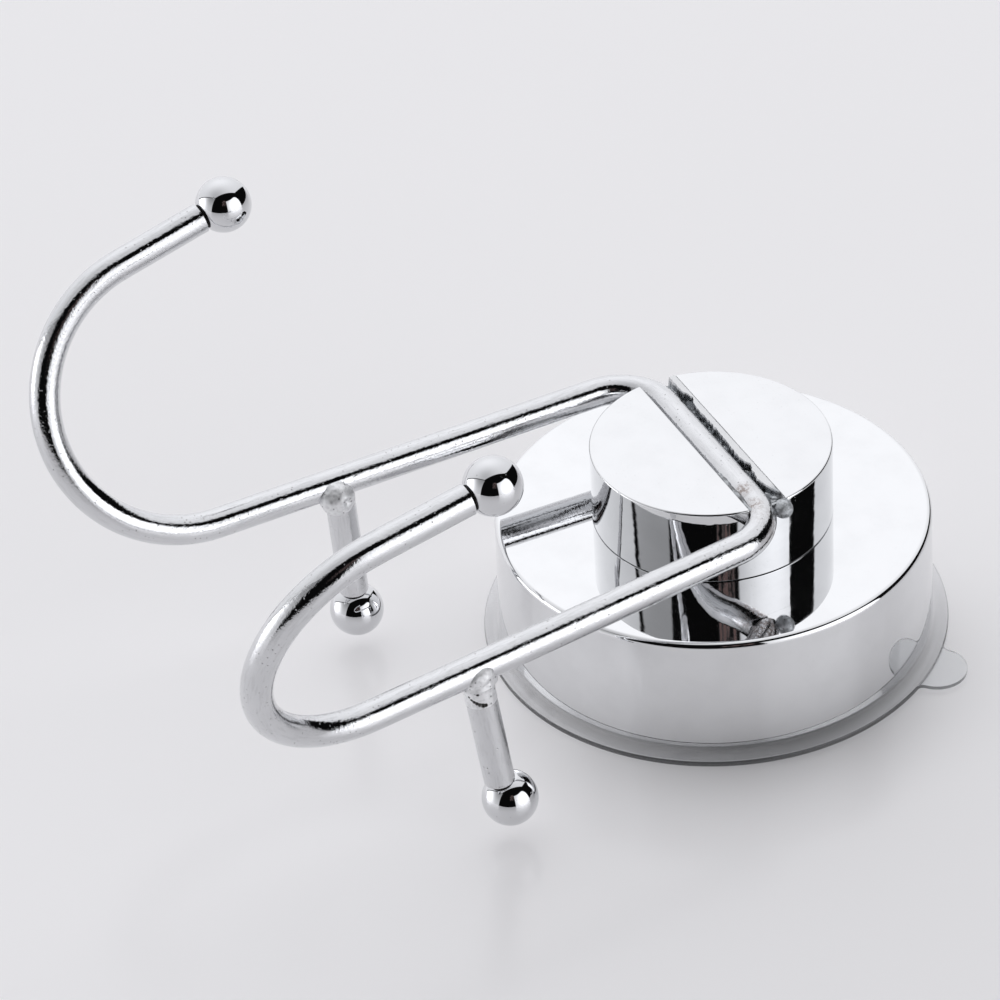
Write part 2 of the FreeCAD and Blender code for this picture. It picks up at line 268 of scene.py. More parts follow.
class Bar:
    """A round bar that is drawn out ring by ring, with its own coordinates along it."""

    def __init__(self, start, way, radius, sides):
        self.mesh = bmesh.new()
        self.along = self.mesh.verts.layers.float_vector.new("rod")
        self.done = 0.0
        self.centre = Vector(start)
        self.way = Vector(way).normalized()
        facing = Matrix.Translation(self.centre) @ self.way.to_track_quat("Z", "Y").to_matrix().to_4x4()
        self.points = bmesh.ops.create_circle(
            self.mesh, cap_ends=True, radius=radius, segments=sides, matrix=facing)["verts"]
        self.edges = list(self.mesh.edges)
        for i, point in enumerate(self.points):
            angle = 2 * math.pi * i / sides
            point[self.along] = Vector((radius * math.cos(angle), radius * math.sin(angle), 0))

    def mark(self, distance):
        """Note how far along the bar the new ring is."""
        self.done += distance
        for point in self.points:
            point[self.along] = Vector((point[self.along].x, point[self.along].y, self.done))

    def straight(self, distance, steps, taper=1.0):
        """Draw the bar straight on, and thinner or thicker by the taper."""
        for _ in range(steps):
            result = bmesh.ops.extrude_edge_only(self.mesh, edges=self.edges)["geom"]
            self.points, self.edges = ring_loop(result)
            move = self.way * (distance / steps)
            bmesh.ops.translate(self.mesh, verts=self.points, vec=move)
            self.centre = self.centre + move
            if taper != 1.0:
                scale = taper ** (1 / steps)
                bmesh.ops.scale(
                    self.mesh, verts=self.points, vec=(scale,) * 3, space=Matrix.Translation(-self.centre))
            self.mark(distance / steps)

    def step(self, taper):
        """Make the bar thinner or thicker at once."""
        self.straight(STEP, 1, taper)

    def bend(self, inwards, radius, angle, steps):
        """Bend the bar round a centre that lies inwards of it."""
        inwards = Vector(inwards)
        hub = self.centre + inwards * radius
        axis = self.way.cross(inwards).normalized()
        step = angle / steps
        for _ in range(steps):
            result = bmesh.ops.spin(
                self.mesh, geom=self.points + self.edges, cent=hub, axis=axis, angle=step, steps=1)
            self.points, self.edges = ring_loop(result["geom_last"])
            turned = Matrix.Rotation(step, 3, axis)
            self.centre = hub + turned @ (self.centre - hub)
            self.way = turned @ self.way
            self.mark(radius * step)

    def close(self):
        """Close the far end and point the faces outwards."""
        bmesh.ops.contextual_create(self.mesh, geom=self.edges)
        bmesh.ops.recalc_face_normals(self.mesh, faces=self.mesh.faces)
        return self.mesh


def moved(mesh, shift):
    """Move a whole mesh."""
    bmesh.ops.translate(mesh, verts=mesh.verts, vec=shift)
    return mesh


def rotated(mesh, angle):
    """Turn a whole mesh about the Z axis."""
    bmesh.ops.rotate(mesh, verts=mesh.verts, cent=ORIGIN, matrix=Matrix.Rotation(angle, 3, "Z"))
    return mesh


def turned_to(mesh, centre, way):
    """Stand a mesh that was made about the Z axis on a centre, along a direction."""
    facing = Matrix.Translation(centre) @ Vector(way).to_track_quat("Z", "Y").to_matrix().to_4x4()
    bmesh.ops.transform(mesh, matrix=facing, verts=mesh.verts)
    return mesh


def roughen(mesh, size, depth, seed):
    """Move the points along their normals by a fixed pattern of lumps."""
    mesh.normal_update()
    shift = Vector((seed, seed * 1.7, seed * 2.3))
    for point in mesh.verts:
        lump = noise.fractal(point.co / size + shift, 0.8, 2.1, 3)
        point.co += point.normal * (lump * depth)


def lumpy_ball(radius, size, depth, seed, stretch=1.0, sides=72):
    """A ball with a fixed pattern of lumps, stretched upwards if asked."""
    mesh = bmesh.new()
    bmesh.ops.create_uvsphere(mesh, u_segments=sides, v_segments=48, radius=radius)
    bmesh.ops.scale(mesh, verts=mesh.verts, vec=(1.0, 1.0, stretch))
    roughen(mesh, size, depth, seed)
    return mesh


def dent(mesh, centre, size, depth):
    """Press the points near a centre inwards."""
    mesh.normal_update()
    for point in mesh.verts:
        share_near = max(0.0, 1 - (point.co - centre).length / size)
        point.co -= point.normal * (depth * share_near * share_near * (3 - 2 * share_near))


def joined(first, second):
    """One bmesh with the points and faces of two."""
    spare = bpy.data.meshes.new("spare")
    second.to_mesh(spare)
    second.free()
    first.from_mesh(spare)
    bpy.data.meshes.remove(spare)
    return first


# Where the wire runs

class ArmRun:
    """The points and directions of one arm, from the middle of the slot to its ball."""

    def __init__(self, context, side):
        cup = context.scene.hook_cup
        wire = context.scene.hook_wire
        arm = wire.left if side < 0 else wire.right
        along = Vector((math.cos(cup.slot_turn), -math.sin(cup.slot_turn), 0))
        across = UP.cross(along)
        self.side = side
        self.outwards = Vector((side, 0, 0))
        self.slot_way = along * side
        self.middle = across * (wire.radius - cup.slot_near) + UP * (cup.slot_floor + wire.radius)
        self.arm_way = Vector((
            side * math.sin(arm.splay) * math.cos(wire.droop),
            -math.cos(arm.splay) * math.cos(wire.droop),
            -math.sin(wire.droop)))
        self.bend_angle = self.slot_way.angle(self.arm_way)
        self.bend_inwards = (self.arm_way - self.slot_way * math.cos(self.bend_angle)).normalized()
        bend_reach = wire.bend * math.tan(self.bend_angle / 2)
        corner = self.middle + self.slot_way * wire.corner
        self.slot_reach = wire.corner - bend_reach
        self.arm_start = corner + self.arm_way * bend_reach
        self.arm_end = self.arm_start + self.arm_way * arm.reach
        arm_up = (UP - self.arm_way * UP.dot(self.arm_way)).normalized()
        arm_side = self.outwards - self.arm_way * self.outwards.dot(self.arm_way)
        arm_side = (arm_side - arm_up * arm_side.dot(arm_up)).normalized()
        self.hook_inwards = arm_up * math.cos(arm.hook_lean) + arm_side * math.sin(arm.hook_lean)
        self.hook_end = (
            self.arm_end
            + self.arm_way * (arm.hook_radius * math.sin(arm.hook_turn))
            + self.hook_inwards * (arm.hook_radius * (1 - math.cos(arm.hook_turn))))
        self.tip_way = self.arm_way * math.cos(arm.hook_turn) + self.hook_inwards * math.sin(arm.hook_turn)
        self.ball_centre = self.hook_end + self.tip_way * wire.tip
        self.peg_top = self.arm_start + self.arm_way * arm.peg_place
        slope = Vector((0, math.tan(arm.peg_lean_in), 0)) + self.outwards * math.tan(arm.peg_lean_out) - UP
        self.peg_way = slope.normalized()
        self.foot_centre = self.peg_top + slope * (self.peg_top.z - arm.foot_gap - wire.ball)
        self.foot_centre.y += arm.foot_slip
        self.foot_place = self.peg_top + self.peg_way * (self.foot_centre - self.peg_top).dot(self.peg_way)
        self.arm = arm

    def back_inwards(self, way, inwards, angle):
        """The inward direction at the far end of a bend, for a bar that comes the other way."""
        return (inwards * math.cos(angle) - way * math.sin(angle)).normalized()

    def hook_inwards_at_end(self):
        """The inward direction where the hook meets its straight tip."""
        return self.back_inwards(self.arm_way, self.hook_inwards, self.arm.hook_turn)

    def bend_inwards_at_end(self):
        """The inward direction where the bend meets the arm."""
        return self.back_inwards(self.slot_way, self.bend_inwards, self.bend_angle)


# Finishes

def add_node(tree, kind, settings=None, inputs=None):
    """Add a node, then set its settings, and set or link its inputs."""
    node = tree.nodes.new(kind)
    for name, value in (settings or {}).items():
        setattr(node, name, value)
    for name, value in (inputs or {}).items():
        if isinstance(value, bpy.types.NodeSocket):
            tree.links.new(value, node.inputs[name])
        else:
            node.inputs[name].default_value = value
    return node


def calculate(tree, operation, first, second=0.0, third=0.0):
    """A Math node's result."""
    return add_node(
        tree, "ShaderNodeMath", {"operation": operation}, {0: first, 1: second, 2: third}).outputs[0]


def remap(tree, value, low, high, new_low, new_high):
    """A value carried smoothly from one range to another."""
    return add_node(
        tree, "ShaderNodeMapRange", {"interpolation_type": "SMOOTHSTEP"},
        {"Value": value, "From Min": low, "From Max": high, "To Min": new_low, "To Max": new_high},
    ).outputs["Result"]


def mix_colours(tree, factor, first, second):
    """A blend of two colours."""
    node = add_node(tree, "ShaderNodeMix", {"data_type": "RGBA"}, {0: factor})
    for socket, value in ((node.inputs[6], first), (node.inputs[7], second)):
        if isinstance(value, bpy.types.NodeSocket):
            tree.links.new(value, socket)
        else:
            socket.default_value = (*value, 1.0)
    return node.outputs[2]


def dimmed(shade, level):
    """A colour at another brightness."""
    return tuple(level * part for part in shade)


def vector_math(tree, operation, first, second=(0, 0, 0)):
    """A Vector Math node's outputs."""
    return add_node(tree, "ShaderNodeVectorMath", {"operation": operation}, {0: first, 1: second}).outputs


def distance_from(tree, place, centre):
    """How far a place is from a centre."""
    return vector_math(tree, "DISTANCE", place, tuple(centre))["Value"]


def off_axis(tree, place):
    """How far a place is from the Z axis."""
    return vector_math(tree, "LENGTH", vector_math(tree, "MULTIPLY", place, (1, 1, 0))["Vector"])["Value"]


def split(tree, vector):
    """The X, Y and Z of a vector."""
    return add_node(tree, "ShaderNodeSeparateXYZ", None, {0: vector}).outputs


def turned_about_z(tree, vector, angle):
    """A vector turned about the Z axis."""
    return add_node(
        tree, "ShaderNodeVectorRotate", {"rotation_type": "Z_AXIS"},
        {"Vector": vector, "Angle": angle}).outputs[0]


def product(tree, first, *others):
    """Values multiplied together."""
    for other in others:
        first = calculate(tree, "MULTIPLY", first, other)
    return first


def noise_value(tree, vector, scale, detail=2.0, rough=0.5):
    """A Noise texture's value."""
    return add_node(
        tree, "ShaderNodeTexNoise", None,
        {"Vector": vector, "Scale": scale, "Detail": detail, "Roughness": rough}).outputs["Fac"]


def millimetres(tree, rod=False, stretch=(1.0, 1.0, 1.0)):
    """The place on a piece in millimetres, or along and round a bar."""
    if rod:
        place = add_node(tree, "ShaderNodeAttribute", {"attribute_name": "rod"}).outputs["Vector"]
    else:
        place = add_node(tree, "ShaderNodeTexCoord").outputs["Object"]
    scale = tuple(value / MM for value in stretch)
    return add_node(tree, "ShaderNodeMapping", None, {"Vector": place, "Scale": scale}).outputs["Vector"]


def new_material(name):
    """A material with an empty tree, its shader and its output."""
    material = bpy.data.materials.new(name)
    material.use_nodes = True
    tree = material.node_tree
    tree.nodes.clear()
    shader = add_node(tree, "ShaderNodeBsdfPrincipled")
    add_node(tree, "ShaderNodeOutputMaterial", None, {"Surface": shader.outputs["BSDF"]})
    return material, tree, shader


def opened(material):
    """A material's tree and its shader."""
    tree = material.node_tree
    return tree, next(node for node in tree.nodes if node.type == "BSDF_PRINCIPLED")


def link_bump(tree, shader, height, depth):
    """Give the shader a bump of a height in shares of the depth."""
    bump = add_node(tree, "ShaderNodeBump", None, {"Height": height, "Strength": 1.0, "Distance": depth})
    tree.links.new(bump.outputs["Normal"], shader.inputs["Normal"])


def lay_over(tree, shader, cover, colour_over, rough_over):
    """Lay another colour and roughness over a finish, where the cover is one."""
    under = shader.inputs["Base Color"].links[0].from_socket
    tree.links.new(mix_colours(tree, cover, under, colour_over), shader.inputs["Base Color"])
    under = shader.inputs["Roughness"].links[0].from_socket
    rough = add_node(tree, "ShaderNodeMix", {"data_type": "FLOAT"}, {0: cover, 2: under, 3: rough_over})
    tree.links.new(rough.outputs[0], shader.inputs["Roughness"])


def slot_walls(context, material):
    """Dull plating with drawn streaks on the walls and the floor of the knob's slot."""
    colours = context.scene.hook_finish
    cup = context.scene.hook_cup
    tree, shader = opened(material)
    place = millimetres(tree)
    facing = turned_about_z(tree, place, cup.slot_turn)
    parts = split(tree, facing)
    spare = 0.05
    middle = 0.5 * (cup.slot_far - cup.slot_near) / MM
    half = 0.5 * (cup.slot_far + cup.slot_near) / MM
    off_middle = calculate(tree, "ABSOLUTE", calculate(tree, "SUBTRACT", parts[1], middle))
    inside = product(
        tree, calculate(tree, "LESS_THAN", off_middle, half + spare),
        calculate(tree, "GREATER_THAN", parts[2], cup.slot_floor / MM - spare),
        calculate(tree, "LESS_THAN", off_axis(tree, place), (cup.knob_radius - cup.knob_edge) / MM))
    drawn = add_node(
        tree, "ShaderNodeMapping", None, {"Vector": facing, "Scale": (0.12, 1.0, 2.6)}).outputs["Vector"]
    streak = remap(tree, noise_value(tree, drawn, 1.0, 3.0), 0.52, 0.66, 0.0, 0.6)
    dull = mix_colours(tree, streak, colours.cast, dimmed(colours.cast, 0.4))
    lay_over(tree, shader, inside, dull, 0.85)


def groove_shade(context, material, centres, reach):
    """Painted shade in the groove between a rod and its ball, within a reach of the ball's centre."""
    tree, shader = opened(material)
    place = add_node(tree, "ShaderNodeTexCoord").outputs["Object"]
    slack = 0.06 * MM
    for centre in centres:
        groove = calculate(tree, "LESS_THAN", distance_from(tree, place, centre), reach - slack)
        lay_over(tree, shader, groove, context.scene.hook_finish.pit, 0.5)


def heat_stains(context, material):
    """Brown speckled stains on the wire, on top beside the filler and below beside the knob."""
    colours = context.scene.hook_finish
    tree, shader = opened(material)
    place = millimetres(tree)
    speckle = remap(tree, noise_value(tree, place, 1.7, 4.0, 0.65), 0.46, 0.58, 0.0, 1.0)
    for centre, near, far, strength in (
            ((14.3, -2.6, 36.7), 0.5, 2.2, 0.8), ((18.7, -3.6, 36.3), 0.6, 2.6, 0.85),
            ((22.6, -3.4, 32.6), 1.5, 6.0, 0.85)):
        spread = remap(tree, distance_from(tree, place, centre), near, far, strength, 0.0)
        mask = calculate(tree, "MULTIPLY", spread, calculate(tree, "MULTIPLY_ADD", speckle, 0.75, 0.25))
        lay_over(tree, shader, mask, colours.heat, 0.32)


def chrome(context, name, metal, polish, ripple, pitting, rod=False):
    """Bright chrome with slow ripples, faint smears, fine scratches and small pits."""
    colours = context.scene.hook_finish
    material, tree, shader = new_material(name)
    place = millimetres(tree, rod)
    smear = remap(tree, noise_value(tree, place, 0.16, 3.0), 0.35, 0.75, 0.0, 1.0)
    grain_place = millimetres(tree, rod, (2.2, 2.2, 0.22) if rod else (1.2, 1.2, 1.2))
    grain = noise_value(tree, grain_place, 2.6, 4.0, 0.6)
    scratch = remap(tree, grain, 0.66, 0.74, 0.0, 1.0)
    cells = add_node(
        tree, "ShaderNodeTexVoronoi", None,
        {"Vector": place, "Scale": 1.25 if rod else 0.95, "Randomness": 1.0})
    bare = 0.42 if rod else 0.5
    patches = remap(tree, noise_value(tree, place, 0.23, 2.0), bare, bare + 0.12, 0.0, 1.0)
    pit = product(tree, remap(tree, cells.outputs["Distance"], 0.06, 0.19, 1.0, 0.0), patches, pitting)
    shader.inputs["Metallic"].default_value = 1.0
    plain = mix_colours(tree, smear, tuple(metal), dimmed(metal, 0.965))
    if rod:
        sandy = remap(tree, noise_value(tree, grain_place, 1.6, 3.0, 0.6), 0.48, 0.66, 0.0, 0.2)
        plain = mix_colours(tree, sandy, plain, dimmed(metal, 0.6))
    stain = calculate(tree, "MULTIPLY", pit, 0.55)
    tree.links.new(mix_colours(tree, stain, plain, colours.pit), shader.inputs["Base Color"])
    rough = calculate(tree, "MULTIPLY_ADD", smear, 0.035, polish)
    rough = calculate(tree, "MULTIPLY_ADD", scratch, 0.06, rough)
    rough = calculate(tree, "MULTIPLY_ADD", pit, 0.35, rough)
    tree.links.new(rough, shader.inputs["Roughness"])
    wave = noise_value(tree, millimetres(tree, rod, (1.0, 1.0, 0.55 if rod else 1.0)), 0.42, 1.0)
    height = calculate(tree, "MULTIPLY", wave, ripple)
    height = calculate(tree, "MULTIPLY_ADD", grain, 0.12 if rod else 0.012, height)
    if rod:
        peel = noise_value(tree, millimetres(tree, True, (1.0, 1.0, 0.8)), 2.3, 3.0, 0.6)
        uneven = remap(tree, noise_value(tree, place, 0.11, 2.0), 0.35, 0.65, 0.8, 2.1)
        height = calculate(tree, "MULTIPLY_ADD", peel, uneven, height)
    height = calculate(tree, "MULTIPLY_ADD", pit, -1.0, height)
    link_bump(tree, shader, height, 0.03 * MM)
    return material


def rough_chrome(context, name, metal, lump, dark, low_rough, high_rough, fineness=1.0):
    """Plating over a weld or bare filler: lumpy, grainy and blown with small holes."""
    colours = context.scene.hook_finish
    material, tree, shader = new_material(name)
    place = millimetres(tree)
    grain = noise_value(tree, place, 1.5 * fineness, 4.0, 0.55)
    waves = noise_value(tree, place, 0.8 * fineness, 2.0)
    cells = add_node(tree, "ShaderNodeTexVoronoi", None, {"Vector": place, "Scale": 1.1, "Randomness": 1.0})
    hole = remap(tree, cells.outputs["Distance"], 0.1, 0.24, 1.0, 0.0)
    stain = remap(tree, grain, 0.44, 0.62, 0.0, dark)
    shader.inputs["Metallic"].default_value = 1.0
    plain = mix_colours(tree, stain, tuple(metal), colours.pit)
    tree.links.new(mix_colours(tree, calculate(tree, "MULTIPLY", hole, 0.7), plain, colours.pit),
                   shader.inputs["Base Color"])
    tree.links.new(remap(tree, grain, 0.3, 0.7, low_rough, high_rough), shader.inputs["Roughness"])
    height = calculate(tree, "MULTIPLY_ADD", grain, 0.3, calculate(tree, "MULTIPLY", waves, 0.8))
    height = calculate(tree, "MULTIPLY_ADD", hole, -0.5, height)
    link_bump(tree, shader, height, lump)
    return material


def clear_plastic(context, name):
    """Clear soft plastic, wavy and faintly bloomed, that lets light through to the floor below."""
    colours = context.scene.hook_finish
    material, tree, shader = new_material(name)
    place = millimetres(tree)
    bloom = remap(tree, noise_value(tree, place, 0.22, 3.0), 0.4, 0.7, 0.0, 1.0)
    shader.inputs["Transmission Weight"].default_value = 0.9
    shader.inputs["IOR"].default_value = 1.46
    reach = off_axis(tree, place)
    edge = context.scene.hook_cup.disc_radius / MM
    thin = remap(tree, reach, edge + 0.05, edge + 0.4, 0.0, 1.0)
    # painted shade: a darker tint along the wall of the disc's rim
    rim = remap(tree, reach, edge - 0.3, edge - 0.1, 0.0, 1.0)
    thick = mix_colours(tree, rim, colours.thick, colours.rim)
    tint = mix_colours(tree, thin, thick, colours.plastic)
    cloudy = mix_colours(tree, thin, thick, dimmed(colours.plastic, 0.97))
    tree.links.new(mix_colours(tree, bloom, tint, cloudy), shader.inputs["Base Color"])
    tree.links.new(remap(tree, bloom, 0.0, 1.0, 0.03, 0.075), shader.inputs["Roughness"])
    link_bump(tree, shader, noise_value(tree, place, 0.5, 2.0), 0.012 * MM)
    ray = add_node(tree, "ShaderNodeLightPath").outputs
    passing = calculate(tree, "MAXIMUM", ray["Is Shadow Ray"], ray["Is Diffuse Ray"])
    through = add_node(tree, "ShaderNodeBsdfTransparent", None, {"Color": (0.93, 0.933, 0.94, 1.0)})
    surface = add_node(
        tree, "ShaderNodeMixShader", None,
        {0: passing, 1: shader.outputs["BSDF"], 2: through.outputs["BSDF"]})
    output = next(node for node in tree.nodes if node.type == "OUTPUT_MATERIAL")
    tree.links.new(surface.outputs["Shader"], output.inputs["Surface"])
    return material


def nylon(context, name):
    """White nylon with a fine moulded grain."""
    colours = context.scene.hook_finish
    material, tree, shader = new_material(name)
    place = millimetres(tree)
    grain = noise_value(tree, place, 5.0, 3.0)
    tree.links.new(
        mix_colours(tree, grain, colours.nylon, dimmed(colours.nylon, 0.92)),
        shader.inputs["Base Color"])
    shader.inputs["Subsurface Weight"].default_value = 0.2
    shader.inputs["Subsurface Radius"].default_value = (0.0008, 0.0007, 0.0006)
    tree.links.new(remap(tree, grain, 0.3, 0.7, 0.38, 0.5), shader.inputs["Roughness"])
    link_bump(tree, shader, grain, 0.01 * MM)
    return material


def zinc_plate(context, name):
    """Zinc plated steel with a faint mottle of blue and straw."""
    colours = context.scene.hook_finish
    material, tree, shader = new_material(name)
    place = millimetres(tree)
    mottle = noise_value(tree, place, 0.9, 4.0, 0.6)
    shader.inputs["Metallic"].default_value = 1.0
    straw = tuple(part * tint for part, tint in zip(colours.zinc, (1.08, 1.02, 0.86)))
    tree.links.new(mix_colours(tree, mottle, colours.zinc, straw), shader.inputs["Base Color"])
    tree.links.new(remap(tree, mottle, 0.3, 0.7, 0.22, 0.42), shader.inputs["Roughness"])
    link_bump(tree, shader, noise_value(tree, place, 6.0, 3.0), 0.008 * MM)
    return material


# Operators

class HOOK_OT_suction_disc(bpy.types.Operator):
    """Make the clear soft disc with its boss and pull tab"""

    bl_idname = "suction_hook.suction_disc"
    bl_label = "Suction Disc"

    def execute(self, context):
        cup = context.scene.hook_cup
        edge = cup.disc_edge
        seat_outer = cup.cover_rim + 0.3 * MM
        seat_inner = cup.cover_rim - cup.cover_wall - 0.3 * MM
        lip = 0.35 * MM
        room = cup.stud_radius + 0.05 * MM
        head_room = 5.9 * MM
        head_bottom = 1.95 * MM
        head_top = 5.6 * MM
        outline = [(0, 0), (cup.disc_radius - lip, 0)]
        outline += arc((cup.disc_radius - lip, lip), lip, -90, 0, 5)
        outline += arc((cup.disc_radius - lip, edge - lip + 0.05 * MM), lip, 0, 100, 6)
        outline += [
            (seat_outer + 0.25 * MM, cup.disc_seat - 0.1 * MM),
            (seat_outer - 0.1 * MM, cup.disc_seat),
            (seat_inner, cup.disc_seat),
            (cup.boss_radius + 1.5 * MM, cup.disc_centre),
        ]
        outline += arc((cup.boss_radius + 1.5 * MM, cup.disc_centre + 1.5 * MM), 1.5 * MM, 270, 180, 6)
        outline += arc((cup.boss_radius - 0.6 * MM, cup.boss_height - 0.6 * MM), 0.6 * MM, 0, 90, 5)
        outline += [
            (room, cup.boss_height), (room, head_top), (head_room, head_top),
            (head_room, head_bottom), (0, head_bottom)]
        disc = lathe(outline, cup.steps)
        tab = self.tab(cup)
        plastic = clear_plastic(context, "clear_soft_plastic_look")
        piece = finish_piece("soft_disc", disc, None, ["suction_disc"], plastic)
        tab_object = mesh_object("tab", tab)
        union = piece.modifiers.new("Tab", "BOOLEAN")
        union.operation = "UNION"
        union.solver = "EXACT"
        union.object = tab_object
        context.view_layer.update()
        whole = bpy.data.meshes.new_from_object(piece.evaluated_get(context.evaluated_depsgraph_get()))
        piece.modifiers.clear()
        bpy.data.objects.remove(tab_object)
        piece.data = whole
        piece.data.materials.clear()
        piece.data.materials.append(plastic)
        smooth(whole)
        even_normals(piece)
        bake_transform(piece)
        return {"FINISHED"}

    def tab(self, cup):
        """A flat round tab that runs into the disc's edge with rounded inner corners."""
        disc = cup.disc_radius - 0.12 * MM
        round_corner = 1.3 * MM
        place = cup.disc_radius + cup.tab_inset
        near = disc + round_corner
        far = cup.tab_radius + round_corner
        at_disc = math.acos((near ** 2 + place ** 2 - far ** 2) / (2 * near * place))
        at_tab = math.acos((far ** 2 + place ** 2 - near ** 2) / (2 * far * place))
        mesh = bmesh.new()
        first = mesh.verts.new((disc * math.cos(at_disc), -disc * math.sin(at_disc), 0.3 * MM))
        corner = Vector((near * math.cos(at_disc), -near * math.sin(at_disc), 0))
        other = Vector((corner.x, -corner.y, 0))
        last = [first]
        for centre, angle, steps in (
                (corner, at_disc + at_tab - math.pi, 10),
                (Vector((place, 0, 0)), 2 * (math.pi - at_tab), 72),
                (other, at_disc + at_tab - math.pi, 10)):
            turned = bmesh.ops.spin(mesh, geom=last, cent=centre, axis=UP, angle=angle, steps=steps)
            last = points_in(turned["geom_last"])
        inner = mesh.verts.new((disc - 2.5 * MM, 0, 0.3 * MM))
        mesh.edges.new((last[0], inner))
        mesh.edges.new((inner, first))
        bottom = bmesh.ops.contextual_create(mesh, geom=mesh.edges[:])["faces"]
        raised = bmesh.ops.extrude_face_region(mesh, geom=bottom)["geom"]
        bmesh.ops.translate(mesh, verts=points_in(raised), vec=UP * cup.tab_thickness)
        bmesh.ops.recalc_face_normals(mesh, faces=mesh.faces)
        rims = [edge for edge in mesh.edges if abs(edge.verts[0].co.z - edge.verts[1].co.z) < 1e-7]
        bmesh.ops.bevel(
            mesh, geom=rims, offset=0.14 * MM, segments=3, profile=0.5, affect="EDGES",
            clamp_overlap=True, material=-1)
        return rotated(mesh, cup.tab_direction)


class HOOK_OT_inner_parts(bpy.types.Operator):
    """Finish the stud and the washer inside the cup"""

    bl_idname = "suction_hook.inner_parts"
    bl_label = "Stud and Washer"

    def execute(self, context):
        looks = {
            "cup_stud": zinc_plate(context, "zinc_plate_look"),
            "washer": nylon(context, "white_nylon_look")}
        for name, look in looks.items():
            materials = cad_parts[name].data.materials
            materials.clear()
            materials.append(look)
        return {"FINISHED"}


class HOOK_OT_cover(bpy.types.Operator):
    """Make the round chromed cover with its hub"""

    bl_idname = "suction_hook.cover"
    bl_label = "Cover"

    def execute(self, context):
        cup = context.scene.hook_cup
        top = cup.cover_height
        bottom = cup.disc_seat
        ceiling = top - cup.cover_crown
        round_top = 1.0 * MM
        round_rim = 0.4 * MM
        inner = cup.cover_rim - cup.cover_wall
        outline = [(cup.hub_bore, top - 0.2 * MM), (cup.hub_bore + 0.2 * MM, top)]
        outline += arc((cup.cover_top - round_top, top - round_top), round_top, 90, 0, 10)
        outline += arc((cup.cover_rim - round_rim, bottom + round_rim), round_rim, 0, -90, 5)
        outline += arc((inner + 0.3 * MM, bottom + 0.3 * MM), 0.3 * MM, -90, -180, 3)
        outline += arc((cup.cover_top - cup.cover_wall - 0.8 * MM, ceiling - 0.8 * MM), 0.8 * MM, 0, 90, 5)
        outline += arc((cup.hub_radius + 0.6 * MM, ceiling - 0.6 * MM), 0.6 * MM, 90, 180, 4)
        outline += [
            (cup.hub_radius, cup.hub_bottom + 0.2 * MM), (cup.hub_radius - 0.2 * MM, cup.hub_bottom),
            (cup.hub_bore + 0.2 * MM, cup.hub_bottom), (cup.hub_bore, cup.hub_bottom + 0.2 * MM),
            (cup.hub_bore, top - 0.2 * MM)]
        finish = context.scene.hook_finish
        metal = dimmed(finish.plate, 1.035)
        material = chrome(context, "chromed_cover_look", metal, finish.polish, 0.05, 0.05)
        cap = lathe(outline, cup.steps)
        even_normals(finish_piece("chromed_cap", cap, "base", ["cover"], material))
        return {"FINISHED"}


